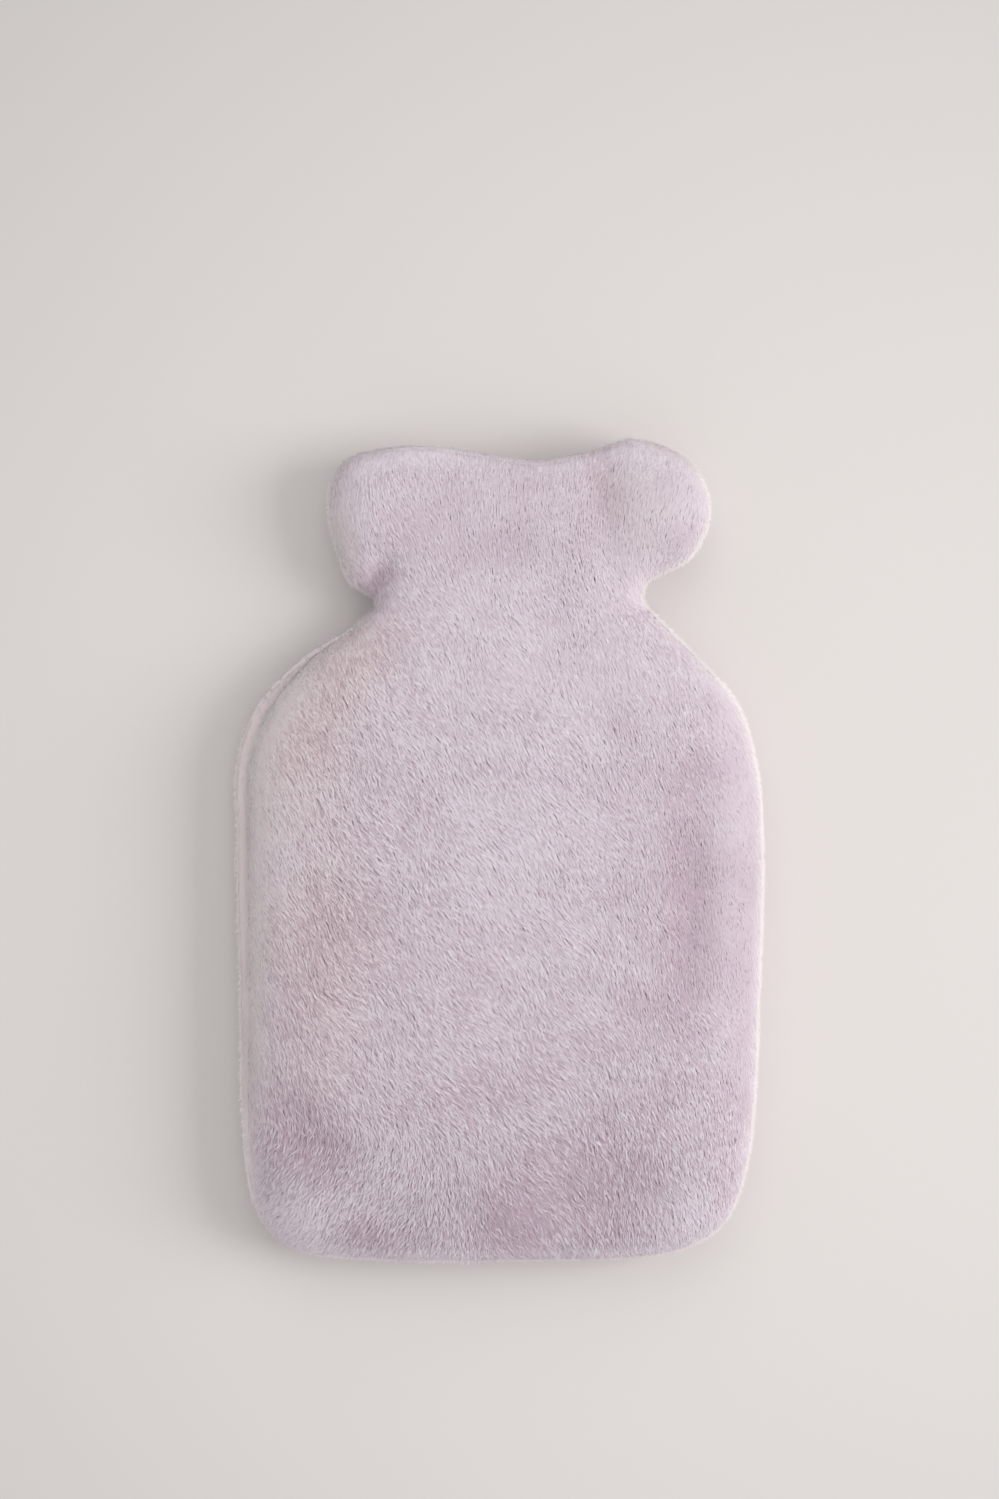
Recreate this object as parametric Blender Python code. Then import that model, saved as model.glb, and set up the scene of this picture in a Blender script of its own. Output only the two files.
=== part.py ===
"""Plush cover for a hot water bottle, lying on its back on a flat surface.

Two panels of fur cloth are sewn together round the sides and the hem.  The top
of the collar is left open as the mouth, and the space between the panels is the
pocket for the bottle.  Each panel is one solid as thick as its backing and its
pile together.  +Y runs from the hem to the mouth, +Z is up and +X is to the right
of someone who looks down at the front with the mouth at the top.  The surface
that the cover lies on is Z = 0.

Each panel is worked out in the same way: a smooth closed outline, a band of
rings that follow it at known distances, an even grid inside the band, and a
height for every point that depends on how far the point is from the edge.
"""

import bmesh
import bpy
import numpy as np

MM = 0.001

# ---- driving sizes, in millimetres -------------------------------------------

BODY_HEIGHT = 42.0  # the crown of the body above the surface
NECK_HEIGHT = 33.0  # the cover at its waist
COLLAR_HEIGHT = 35.0  # the collar above the waist
HEM_HEIGHT = 38.0  # the cover near its hem
SEAM_HEIGHT = 15.0  # the sewn edge above the surface
SEAM_WAVE = 1.0  # how far the sewn edge wanders up and down
SEAM_WAVE_ALONG = 239.0  # the length of that wave from hem to mouth
SEAM_WAVE_ACROSS = 346.0  # and from side to side
SEAM_WIDTH = 7.0  # the two panels lie on each other this far in from the edge
SEAM_GAP = 0.3  # clearance between the two panels along the seam

FRONT_THICKNESS = 9.0  # backing and combed pile of the front panel
BACK_THICKNESS = 7.0  # backing and pressed pile of the back panel
BODY_ROUND = 40.0  # the front reaches its full height this far from the edge
COLLAR_ROUND = 24.0  # the same on the collar
BACK_ROUND = 12.0  # the back lies flat this far from the edge
BACK_POCKET_ROUND = 18.0  # the pocket's floor is level this far inside the seam
ROUNDNESS = 2.2  # exponent of the rounded edge, 2 for an ellipse

MOUTH_FRONT_LIFT = 6.0  # the front lip above the seam's height at mid mouth
MOUTH_BACK_DROP = 6.5  # the back lip below it
LIP_ROLL = 3.5  # the lip's edge curls this far towards its outer side
LIP_WIDTH = 4.0  # width of that curl
MOUTH_FULLNESS = 0.7  # exponent of the opening's sine, lower for a squarer mouth

# The front's height and its rounding along its length.  Each row is a place from
# hem to mouth and the amount there, with a smooth change to the next row.
CROWN = (
    (-180.0, HEM_HEIGHT),
    (-110.0, BODY_HEIGHT),
    (55.0, BODY_HEIGHT),
    (110.0, NECK_HEIGHT),
    (145.0, COLLAR_HEIGHT),
)
ROUNDING = ((80.0, BODY_ROUND), (130.0, COLLAR_ROUND))

# The cover's two sides from the hem to the mouth.  strip is how far the back
# panel shows beyond the front panel on the left.
SIDE_COLUMNS = ("height", "left", "right", "strip")
SIDES = (
    (-167.0, -105.0, 102.0, 0.0),  # hem corners
    (-140.0, -113.2, 112.0, 2.0),
    (-60.0, -116.6, 117.3, 4.6),
    (8.0, -118.0, 118.5, 5.6),  # widest
    (42.0, -117.4, 115.2, 6.4),
    (66.0, -108.0, 107.0, 7.4),  # shoulders
    (87.0, -87.0, 89.0, 5.2),
    (101.0, -64.5, 75.0, 1.6),
    (112.0, -54.6, 65.2, 0.0),  # waist
    (120.0, -66.0, 67.0, 0.0),  # underside of the lobes
    (132.0, -71.2, 87.0, 0.0),
    (150.0, -75.6, 95.0, 0.0),
    (166.0, -74.4, 92.0, 0.0),
    (175.0, -68.0, 85.0, 0.0),  # mouth corners
)

# The hem and the mouth between those corners, as points (across, height) from
# left to right.
HEM = ((-91.0, -179.0), (-45.0, -184.0), (12.0, -184.0), (66.0, -182.2), (88.0, -177.2))
MOUTH = (
    (-54.0, 179.2),
    (-37.0, 181.0),
    (-12.0, 178.6),
    (18.0, 174.4),
    (41.0, 178.6),
    (60.0, 184.2),
    (75.0, 180.6),
)

# Soft hollows and swells of the front: where they are, how far they rise, their
# half length and half width, and the angle of their length from +X in degrees.
RELIEF_COLUMNS = ("x", "y", "rise", "length", "width", "angle")
RELIEF = (
    (-54.0, 121.0, -8.0, 14.0, 7.0, 60.0),  # crease at the left of the waist
    (57.0, 142.0, -4.5, 28.0, 8.0, 100.0),  # crease down the right lobe
    (80.0, 152.0, 3.0, 20.0, 14.0, 80.0),  # the right lobe's swell
    (-52.0, 158.0, 2.0, 20.0, 16.0, 0.0),  # the left lobe's swell
    (87.0, -22.0, -3.5, 44.0, 9.0, 90.0),  # trough beside the right edge
    (-80.0, 46.0, -2.5, 24.0, 13.0, -20.0),  # hollow at the left shoulder
    (-66.0, -30.0, -2.5, 34.0, 13.0, -10.0),  # hollow at mid left
    (-87.0, -123.0, -4.5, 22.0, 12.0, -40.0),  # hollow above the left corner
    (-44.0, -163.0, -3.5, 20.0, 9.0, 0.0),  # dips along the hem
    (46.0, -156.0, -5.0, 42.0, 15.0, 8.0),
    (2.0, -156.0, 2.5, 14.0, 16.0, 80.0),
    (10.0, 40.0, 1.5, 46.0, 26.0, 120.0),  # broad swells of the body
    (-22.0, -92.0, 2.0, 44.0, 24.0, 30.0),
    (52.0, -60.0, 1.5, 40.0, 22.0, 70.0),
)

# ---- mesh sizes -----------------------------------------------------------------

CELLS_ACROSS = 20
CELLS_ALONG = 42
OUTER_RINGS = (0.0, 0.5, 1.8, 4.0, 7.0, 11.0)  # distances from the edge
INNER_RINGS = (0.0, LIP_WIDTH, SEAM_WIDTH, 8.5, 11.0)
POINTS_PER_SPAN = 16
BEND_LENGTH = 14.0  # a bend of one radian gets as many cells as this much length
END_FADE = 7.0  # exponent with which the grid's rows lose the shape of hem and mouth
NEARNESS = 1.0  # softens the weights that carry the mouth's opening inwards
WELD = 1e-6  # metres

FUR_COLOUR = (0.60, 0.50, 0.58, 1.0)
BACK_COLOUR = (0.56, 0.47, 0.54, 1.0)
FUR_ROUGHNESS = 0.9


# ---- curves ---------------------------------------------------------------------


def smooth_closed_curve(points):
    """Centripetal Catmull-Rom curve through a closed row of points."""
    count = len(points)
    curve = []
    for index in range(count):
        p = [points[(index + step) % count] for step in (-1, 0, 1, 2)]
        knots = np.cumsum([0.0] + [np.sqrt(np.linalg.norm(b - a)) for a, b in zip(p, p[1:])])
        t = np.linspace(knots[1], knots[2], POINTS_PER_SPAN, endpoint=False)[:, None]

        def between(a, b, low, high):
            return (a * (knots[high] - t) + b * (t - knots[low])) / (knots[high] - knots[low])

        first, second, third = (between(p[k], p[k + 1], k, k + 1) for k in range(3))
        lower = between(first, second, 0, 2)
        upper = between(second, third, 1, 3)
        curve.append(between(lower, upper, 1, 2))
    return np.concatenate(curve)


def spread_along(stretch, count):
    """count points along a stretch of curve, closer where it bends, its last point left out."""
    steps = np.diff(stretch, axis=0)
    heading = np.unwrap(np.arctan2(steps[:, 1], steps[:, 0]))
    bend = np.abs(np.diff(heading, prepend=heading[0]))
    effort = np.linalg.norm(steps, axis=1) + BEND_LENGTH * bend
    reached = np.concatenate([[0.0], np.cumsum(effort)])
    wanted = np.linspace(0.0, reached[-1], count, endpoint=False)
    return np.stack([np.interp(wanted, reached, stretch[:, k]) for k in range(2)], axis=1)


def side_columns():
    """The table of the two sides, as one array for each column's name."""
    return {name: np.array(column) for name, column in zip(SIDE_COLUMNS, zip(*SIDES))}


def panel_outline(shows_strip):
    """The panel's edge, counter-clockwise from the left hem corner.

    The hem, the right side, the mouth and the left side follow each other, each
    with its own number of cells.  The front panel is narrower than the back one
    by the strip on the left.
    """
    sides = side_columns()
    left_edge = sides["left"] if shows_strip else sides["left"] + sides["strip"]
    left_side = np.stack([left_edge, sides["height"]], axis=1)
    right_side = np.stack([sides["right"], sides["height"]], axis=1)
    hem = np.array(HEM)
    mouth = np.array(MOUTH)
    points = np.concatenate([left_side[:1], hem, right_side, mouth[::-1], left_side[:0:-1]])
    curve = smooth_closed_curve(points)
    corners = np.cumsum([0, len(hem) + 1, len(SIDES) - 1, len(mouth) + 1, len(SIDES) - 1])
    cells = (CELLS_ACROSS, CELLS_ALONG, CELLS_ACROSS, CELLS_ALONG)
    curve = np.concatenate([curve, curve[:1]])
    stretches = []
    for start, end, count in zip(corners * POINTS_PER_SPAN, corners[1:] * POINTS_PER_SPAN, cells):
        stretches.append(spread_along(curve[start : end + 1], count))
    return np.concatenate(stretches)


def inward(outline):
    """Unit vectors from the outline's points into the panel."""
    along = np.roll(outline, -1, axis=0) - np.roll(outline, 1, axis=0)
    across = np.stack([-along[:, 1], along[:, 0]], axis=1)
    return across / np.linalg.norm(across, axis=1)[:, None]


def mouth_opening():
    """0 along the sewn edge and 1 at the middle of the mouth, for each outline point."""
    opening = np.zeros(2 * (CELLS_ACROSS + CELLS_ALONG))
    first = CELLS_ACROSS + CELLS_ALONG
    share = np.arange(CELLS_ACROSS + 1) / CELLS_ACROSS
    opening[first : first + CELLS_ACROSS + 1] = np.sin(np.pi * share) ** MOUTH_FULLNESS
    return opening


# ---- the panel's plan -------------------------------------------------------------


def four_sides(ring):
    """The ring's hem, right side, mouth and left side, each from hem to mouth or left to right."""
    across, along = CELLS_ACROSS, CELLS_ALONG
    closed = np.concatenate([ring, ring[:1]])
    hem = closed[: across + 1]
    right = closed[across : across + along + 1]
    mouth = closed[across + along : 2 * across + along + 1][::-1]
    left = closed[2 * across + along :][::-1]
    return hem, right, mouth, left


def grid_inside(ring):
    """A grid bounded by the ring.

    Its rows run straight from the left side to the right side, and the rows near
    the hem and the mouth also take part in how far these bow away from straight.
    """
    hem, right, mouth, left = four_sides(ring)
    u = np.linspace(0.0, 1.0, CELLS_ACROSS + 1)[None, :, None]
    v = np.linspace(0.0, 1.0, CELLS_ALONG + 1)[:, None, None]
    hem_bow = hem - hem[0] * (1 - u) - hem[-1] * u
    mouth_bow = mouth - mouth[0] * (1 - u) - mouth[-1] * u
    rows = left[:, None] * (1 - u) + right[:, None] * u
    return rows + hem_bow * (1 - v) ** END_FADE + mouth_bow * v**END_FADE


def distance_to(outline, points):
    """How far each point is from the nearest stretch of the outline."""
    start = outline[None]
    span = np.roll(outline, -1, axis=0)[None] - start
    offset = points[:, None] - start
    share = np.clip((offset * span).sum(-1) / (span**2).sum(-1), 0.0, 1.0)
    return np.linalg.norm(offset - share[..., None] * span, axis=-1).min(axis=1)


# ---- heights ----------------------------------------------------------------------


def eased_along(y, stops):
    """Reads a table of (y, amount) stops, with a smooth step from each to the next."""
    places, amounts = np.array(stops).T
    stop = np.clip(np.searchsorted(places, y, side="right") - 1, 0, len(places) - 2)
    share = np.clip((y - places[stop]) / (places[stop + 1] - places[stop]), 0.0, 1.0)
    return amounts[stop] + (amounts[stop + 1] - amounts[stop]) * share * share * (3 - 2 * share)


def rounded(distance, reach):
    """0 at an edge, rising steeply and then levelling off to 1 at reach."""
    share = np.clip(distance / reach, 0.0, 1.0)
    return (1 - (1 - share) ** ROUNDNESS) ** (1 / ROUNDNESS)


def seam_height(x, y):
    """The height at which the two panels meet."""
    along = np.sin(2 * np.pi * y / SEAM_WAVE_ALONG)
    return SEAM_HEIGHT + SEAM_WAVE * along * np.cos(2 * np.pi * x / SEAM_WAVE_ACROSS)


def relief(x, y):
    """The front's hollows and swells, each an oval bell."""
    total = np.zeros_like(x)
    for row in RELIEF:
        bell = dict(zip(RELIEF_COLUMNS, row))
        angle = np.radians(bell["angle"])
        dx, dy = x - bell["x"], y - bell["y"]
        along = (dx * np.cos(angle) + dy * np.sin(angle)) / bell["length"]
        across = (dy * np.cos(angle) - dx * np.sin(angle)) / bell["width"]
        total += bell["rise"] * np.exp(-(along**2) - across**2)
    return total


def crown(x, y):
    """The front's height away from its edges."""
    return eased_along(y, CROWN) + relief(x, y)


def front_outer(x, y, distance, opening):
    """The front panel's fur side."""
    rim = seam_height(x, y) + SEAM_GAP / 2 + (MOUTH_FRONT_LIFT + LIP_ROLL) * opening
    return rim + (crown(x, y) - rim) * rounded(distance, eased_along(y, ROUNDING))


def front_inner(x, y, distance, opening):
    """The front panel's pocket side."""
    seam = seam_height(x, y) + SEAM_GAP / 2 + MOUTH_FRONT_LIFT * opening
    roll = LIP_ROLL * opening * (1 - rounded(distance, LIP_WIDTH))
    ceiling = np.maximum(crown(x, y) - FRONT_THICKNESS, seam)
    rise = rounded(distance - SEAM_WIDTH, eased_along(y, ROUNDING))
    return seam + roll + (ceiling - seam) * rise


def back_rim_drop(opening, strip):
    """How far the back panel's edge curls down, at the mouth and where it shows."""
    return np.maximum(LIP_ROLL * opening, strip)


def back_outer(x, y, distance, opening, strip):
    """The back panel's fur side, which lies on the surface."""
    rim = seam_height(x, y) - SEAM_GAP / 2 - MOUTH_BACK_DROP * opening
    rim -= back_rim_drop(opening, strip)
    return rim * (1 - rounded(distance, BACK_ROUND))


def back_inner(x, y, distance, opening, strip):
    """The back panel's pocket side."""
    seam = seam_height(x, y) - SEAM_GAP / 2 - MOUTH_BACK_DROP * opening
    roll = back_rim_drop(opening, strip) * (1 - rounded(distance, LIP_WIDTH))
    floor = np.minimum(BACK_THICKNESS, seam)
    return seam - roll - (seam - floor) * rounded(distance - SEAM_WIDTH, BACK_POCKET_ROUND)


# ---- meshes -----------------------------------------------------------------------


def skin(outline, distances, height):
    """One side of a panel, as points and quads that face up."""
    normals = inward(outline)
    rings = [outline + normals * distance for distance in distances]
    grid = grid_inside(rings[-1])
    inner = grid[1:-1, 1:-1].reshape(-1, 2)
    count = len(outline)

    opening = mouth_opening()
    points = [
        np.column_stack([ring, height(ring[:, 0], ring[:, 1], np.full(count, distance), opening)])
        for ring, distance in zip(rings, distances)
    ]
    middle = distance_to(outline, inner)
    near_mouth = mouth_opening_at(outline, inner)
    points.append(
        np.column_stack([inner, height(inner[:, 0], inner[:, 1], middle, near_mouth)])
    )

    quads = []
    for ring in range(len(distances) - 1):
        for index in range(count):
            after = (index + 1) % count
            outer_row, inner_row = ring * count, (ring + 1) * count
            quads.append((outer_row + index, outer_row + after, inner_row + after, inner_row + index))
    quads += grid_quads((len(distances) - 1) * count, len(distances) * count)
    return np.concatenate(points), quads


def mouth_opening_at(outline, points):
    """The mouth's opening carried inwards from the nearest outline point."""
    opening = mouth_opening()
    gap = np.linalg.norm(points[:, None] - outline[None], axis=-1)
    weight = 1.0 / (gap**2 + NEARNESS) ** 2
    return (weight * opening).sum(axis=1) / weight.sum(axis=1)


def grid_quads(ring_start, inner_start):
    """Quads of the inner grid, whose border is the last ring of the band."""
    number = np.zeros((CELLS_ALONG + 1, CELLS_ACROSS + 1), int)
    ring = ring_start + np.arange(2 * (CELLS_ACROSS + CELLS_ALONG))
    number[0], number[:, -1], number[-1], number[:, 0] = four_sides(ring)
    inner = inner_start + np.arange((CELLS_ALONG - 1) * (CELLS_ACROSS - 1))
    number[1:-1, 1:-1] = inner.reshape(CELLS_ALONG - 1, CELLS_ACROSS - 1)
    corners = zip(number[:-1, :-1], number[:-1, 1:], number[1:, 1:], number[1:, :-1])
    return [quad for row in corners for quad in zip(*row)]


def strip_along(outline):
    """The strip's width at each outline point, 0 everywhere but on the left side."""
    sides = side_columns()
    on_left = np.arange(len(outline)) >= 2 * CELLS_ACROSS + CELLS_ALONG
    return np.where(on_left, np.interp(outline[:, 1], sides["height"], sides["strip"]), 0.0)


def panel_object(name, upper, lower, material):
    """One closed solid from an upper and a lower skin that share their edge."""
    mesh = bpy.data.meshes.new(name)
    built = bmesh.new()
    for (points, quads), faces_down in ((upper, False), (lower, True)):
        corners = [built.verts.new(point) for point in points * MM]
        for quad in quads:
            built.faces.new([corners[index] for index in (quad[::-1] if faces_down else quad)])
    bmesh.ops.remove_doubles(built, verts=built.verts, dist=WELD)
    bmesh.ops.recalc_face_normals(built, faces=built.faces)
    built.to_mesh(mesh)
    built.free()
    mesh.materials.append(material)
    mesh.shade_smooth()
    panel = bpy.data.objects.new(name, mesh)
    bpy.context.scene.collection.objects.link(panel)
    return panel


def fur_material(name, colour):
    """Matt plush."""
    material = bpy.data.materials.new(name)
    material.use_nodes = True
    shader = material.node_tree.nodes["Principled BSDF"]
    shader.inputs["Base Color"].default_value = colour
    shader.inputs["Roughness"].default_value = FUR_ROUGHNESS
    shader.inputs["Metallic"].default_value = 0.0
    material.diffuse_color = colour
    return material


def front_panel():
    """The domed front, from its fur side down to its pocket side."""
    outline = panel_outline(shows_strip=False)
    upper = skin(outline, OUTER_RINGS, front_outer)
    lower = skin(outline, INNER_RINGS, front_inner)
    return panel_object("front_panel", upper, lower, fur_material("front_fur", FUR_COLOUR))


def back_panel():
    """The flat back, from its pocket side down to the surface."""
    outline = panel_outline(shows_strip=True)
    strip = strip_along(outline)

    def with_strip(side):
        def height(x, y, distance, opening):
            shown = strip if len(x) == len(strip) else np.zeros_like(x)
            return side(x, y, distance, opening, shown)

        return height

    upper = skin(outline, INNER_RINGS, with_strip(back_inner))
    lower = skin(outline, OUTER_RINGS, with_strip(back_outer))
    return panel_object("back_panel", upper, lower, fur_material("back_fur", BACK_COLOUR))


def centre_on_origin(panels):
    """Moves the panels so that the middle of their common box is at X = Y = 0."""
    corners = np.array([vertex.co for panel in panels for vertex in panel.data.vertices])
    middle = (corners.min(axis=0) + corners.max(axis=0)) / 2
    for panel in panels:
        for vertex in panel.data.vertices:
            vertex.co.x -= middle[0]
            vertex.co.y -= middle[1]


def main():
    for existing in list(bpy.data.objects):
        bpy.data.objects.remove(existing)
    centre_on_origin([front_panel(), back_panel()])


main()
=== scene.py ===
"""Looks of a plush cover for a hot water bottle, lying on its back on a pale floor.

The cover is two panels of fur cloth, sewn together round the sides and the hem and
open at the mouth.  Each panel is made of two kinds of surface:

* its cloth, a closed skin that is thinner than the panel by the depth of the pile;
* its pile, thousands of flat tufts that grow out of the cloth, lie the way the nap
  is combed and end where the panel ends.

Both are worked out in millimetres from one formula for each panel's outer side:
an outline from short tables, and a height for every point of the plan from how
far that point is from the outline.  +Y runs from the hem to the mouth, +Z is up.
"""

import itertools
from functools import partial

import bpy
import numpy as np
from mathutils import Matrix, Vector


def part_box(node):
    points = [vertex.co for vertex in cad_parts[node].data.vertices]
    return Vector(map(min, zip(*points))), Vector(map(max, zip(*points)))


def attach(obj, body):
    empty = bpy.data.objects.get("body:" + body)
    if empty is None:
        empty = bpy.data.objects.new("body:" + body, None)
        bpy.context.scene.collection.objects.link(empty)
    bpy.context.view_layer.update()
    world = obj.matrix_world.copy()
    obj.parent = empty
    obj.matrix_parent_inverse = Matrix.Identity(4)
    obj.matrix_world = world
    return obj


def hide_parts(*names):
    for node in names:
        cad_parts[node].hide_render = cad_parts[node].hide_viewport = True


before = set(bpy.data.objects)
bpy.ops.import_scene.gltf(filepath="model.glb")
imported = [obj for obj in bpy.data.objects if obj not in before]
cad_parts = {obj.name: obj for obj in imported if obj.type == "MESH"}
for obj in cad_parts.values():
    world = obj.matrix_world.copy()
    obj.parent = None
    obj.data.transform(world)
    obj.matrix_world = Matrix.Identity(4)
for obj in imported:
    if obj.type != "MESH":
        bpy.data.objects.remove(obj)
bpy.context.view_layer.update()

MM = 0.001

# ---- sizes of the panels, in millimetres ----

BODY_HEIGHT = 42.0  # the crown of the body above the floor
NECK_HEIGHT = 33.0  # the cover at its waist
COLLAR_HEIGHT = 35.0  # the collar above the waist
HEM_HEIGHT = 38.0  # the cover near its hem
SEAM_HEIGHT = 15.0  # the sewn edge above the floor
SEAM_WAVE = 1.0  # how far the sewn edge wanders up and down
SEAM_WAVE_ALONG = 239.0  # the length of that wave from hem to mouth
SEAM_WAVE_ACROSS = 346.0  # and from side to side
SEAM_GAP = 0.3  # clearance between the two panels along the seam

FRONT_THICKNESS = 9.0  # cloth and combed pile of the front panel
BACK_THICKNESS = 7.0  # cloth and pressed pile of the back panel
PILE_DEPTH = 1.6  # the pile stands this far off the cloth
EDGE_PILE = 0.5  # and this far off it where the cloth is steep, as at the edges
PRESSED_DEPTH = 1.4  # the same under the back panel, where it lies on the floor
BODY_ROUND = 40.0  # the front reaches its full height this far from the edge
COLLAR_ROUND = 24.0  # the same on the collar
BACK_ROUND = 12.0  # the back lies flat this far from the edge
BACK_POCKET_ROUND = 18.0  # the pocket's floor is level this far inside the seam
ROUNDNESS = 2.2  # exponent of the rounded edge, 2 for an ellipse

MOUTH_FRONT_LIFT = 6.0  # the front lip above the seam's height at mid mouth
MOUTH_BACK_DROP = 6.5  # the back lip below it
LIP_ROLL = 3.5  # the lip's edge curls this far towards its outer side
LIP_WIDTH = 2.0  # width of that curl
BACK_TUCK = 1.0  # the back's pile ends this far under the front's, but not along the strip
SEAM_WIDTH = 2.5  # the two cloths lie on each other this far in from their edge
MOUTH_FROM = 172.0  # the fur also comes over the back lip's edge above this height
MOUTH_FULLNESS = 0.7  # exponent of the opening's sine, lower for a squarer mouth

# The front's height and its rounding along its length.  Each row is a place from
# hem to mouth and the amount there, with a smooth change to the next row.
CROWN = (
    (-180, HEM_HEIGHT),
    (-110, BODY_HEIGHT),
    (55, BODY_HEIGHT),
    (110, NECK_HEIGHT),
    (145, COLLAR_HEIGHT),
)
ROUNDING = ((80, BODY_ROUND), (130, COLLAR_ROUND))

# The cover's two sides from the hem to the mouth.  strip is how far the back
# panel shows beyond the front panel on the left.
SIDE_COLUMNS = ("height", "left", "right", "strip")
SIDES = (
    (-167, -105, 102, 0),  # hem corners
    (-140, -113.2, 112, 2),
    (-60, -116.6, 117.3, 4.6),
    (8, -118, 118.5, 5.6),  # widest
    (42, -117.4, 115.2, 6.4),
    (66, -108, 107, 7.4),  # shoulders
    (87, -87, 89, 5.2),
    (101, -64.5, 75, 1.6),
    (112, -54.6, 65.2, 0),  # waist
    (120, -66, 67, 0),  # underside of the lobes
    (132, -71.2, 87, 0),
    (150, -75.6, 95, 0),
    (166, -74.4, 92, 0),
    (175, -68, 85, 0),  # mouth corners
)

# The hem and the mouth between those corners, as points (across, height) from
# left to right.
HEM = ((-91, -179), (-45, -184), (12, -184), (66, -182.2), (88, -177.2))
MOUTH = (
    (-54, 179.2),
    (-37, 181),
    (-12, 178.6),
    (18, 174.4),
    (41, 178.6),
    (60, 184.2),
    (75, 180.6),
)

# Soft hollows and swells of the front: where they are, how far they rise, their
# half length and half width, and the angle of their length from +X in degrees.
RELIEF_COLUMNS = ("x", "y", "rise", "length", "width", "angle")
RELIEF = (
    (-54, 121, -5, 12, 5.5, 60),  # crease at the left of the waist
    (49, 146, -2.4, 28, 9, 98),  # crease down the right lobe
    (76, 152, 2.5, 20, 16, 80),  # the right lobe's swell
    (-52, 158, 2, 20, 16, 0),  # the left lobe's swell
    (87, -22, -3.5, 44, 9, 90),  # trough beside the right edge
    (-80, 46, -2.5, 24, 13, -20),  # hollow at the left shoulder
    (-66, -30, -2.5, 34, 13, -10),  # hollow at mid left
    (-87, -123, -4.5, 22, 12, -40),  # hollow above the left corner
    (-44, -163, -3.5, 20, 9, 0),  # dips along the hem
    (46, -156, -5, 42, 15, 8),
    (2, -156, 2.5, 14, 16, 80),
    (10, 40, 1.5, 46, 26, 120),  # broad swells of the body
    (-22, -92, 2, 44, 24, 30),
    (52, -60, 1.5, 40, 22, 70),
)

# ---- the cloth's mesh ----

CELLS_ACROSS = 48
CELLS_ALONG = 96
OUTER_RINGS = (0.0, 0.15, 0.6, 1.4, 2.6, 4.2)  # distances from the edge
INNER_RINGS = (0.0, LIP_WIDTH, SEAM_WIDTH, 4.2)
BACK_INNER_RINGS = (0.0, 0.3, 0.9, 1.8, 3.0, 4.4)
STRIP_ROUND = 0.7  # share of the strip's width over which its edge is rounded
POINTS_PER_SPAN = 32
BEND_LENGTH = 14.0  # a bend of one radian gets as many cells as this much length
END_FADE = 7.0  # exponent with which the grid's rows lose the shape of hem and mouth
NEARNESS = 1.0  # softens the weights that carry the mouth's opening inwards

# ---- the nap ----

# The way the pile lies, in degrees from +X: a place, the angle there, and how far
# round it that angle holds.
COMB_COLUMNS = ("x", "y", "angle", "reach")
COMB = (
    (-40, 165, -80, 34),  # the collar
    (20, 165, -92, 30),
    (75, 160, -105, 26),
    (-50, 130, -50, 22),
    (30, 110, -72, 34),
    (-70, 60, -62, 40),  # the shoulders
    (0, 50, -58, 44),
    (80, 50, -72, 36),
    (-80, -20, -58, 40),  # the middle
    (0, -30, -56, 46),
    (85, -30, -80, 34),
    (-90, -90, -60, 32),
    (0, -100, -52, 40),
    (85, -100, -72, 34),
    (-95, -150, -128, 26),  # the hem
    (-40, -165, -118, 28),
    (10, -160, -50, 24),
    (60, -160, -75, 30),
)
WANDER = 0.14  # radians that the nap strays from its combed way, in slow drifts
WANDER_LENGTH = 32.0  # millimetres from drift to drift
WANDER_SEED = 11
LOCK_WANDER = 0.12  # radians between one lock and the next
TUFT_WANDER = 0.13  # and between the tufts of a lock
LEAST_HOLD = 1e-4  # weight that a row of the comb keeps far away from its place
DRIFT_WAVES = 8  # a drift is the sum of so many waves
DRIFT_SPREAD = (0.7, 1.5)  # whose lengths are between these shares of the drift's own
DRIFT_SIZE = 3.0  # and whose sum is divided by this

LOCK_SIZE = 1.6  # tufts gather into locks this far apart
LOCK_PULL = 0.06  # how far a tuft's tip moves towards the middle of its lock
LOCK_SEED = 40
STREAK_WIDTH = 0.34  # millimetres across the fine streaks that run with the nap
STREAK_LENGTH = 2.4  # and along them
STREAK_GAP = 0.68  # a streak stands out from what is this far beside it
STREAK_SEED = 60

REACH_SPREAD = (0.8, 1.15)  # a tuft's length is between these shares of the pile's
WIDTH_SPREAD = (0.7, 1.2)  # and its width between these
CALM_WIDTH = 0.3  # how much broader tufts are where the nap is fully calm
CALM_LIMITS = (-1.1, 1.0)  # of calm: at 1 the tufts are all alike, below 0 they differ more
DEPTH_DRIFT = 0.1  # share by which the pile's depth differs in slow drifts
DEPTH_LENGTH = 26.0  # millimetres from drift to drift
DEPTH_SEED = 12
LOCK_LIFT = 0.03  # share by which it differs from lock to lock
TUFT_LIFT = 0.08  # between the tufts of a lock
STREAK_LIFT = 0.04  # and between the pale streaks and the rest

STRAYS = 0.04  # share of the tufts that stand up, finer and longer than the rest
RIM_STRAYS = 0.35  # and their share on an upright rim
STRAY_DEPTH = 1.15  # their depth, as a share of the other tufts'
STRAY_WIDTH = 0.5  # and their width
FLUFF_DEPTH = (0.3, 2.3)  # millimetres that they stand out further from an upright rim
FLUFF_REACH = 0.6  # share of their length that they lose there
FLUFF_WIDTH = 0.18  # and what is taken there from that share of the width
FLUFF_FROM = 0.3  # from this steepness on, 1 for upright, they lie level across their length

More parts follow.
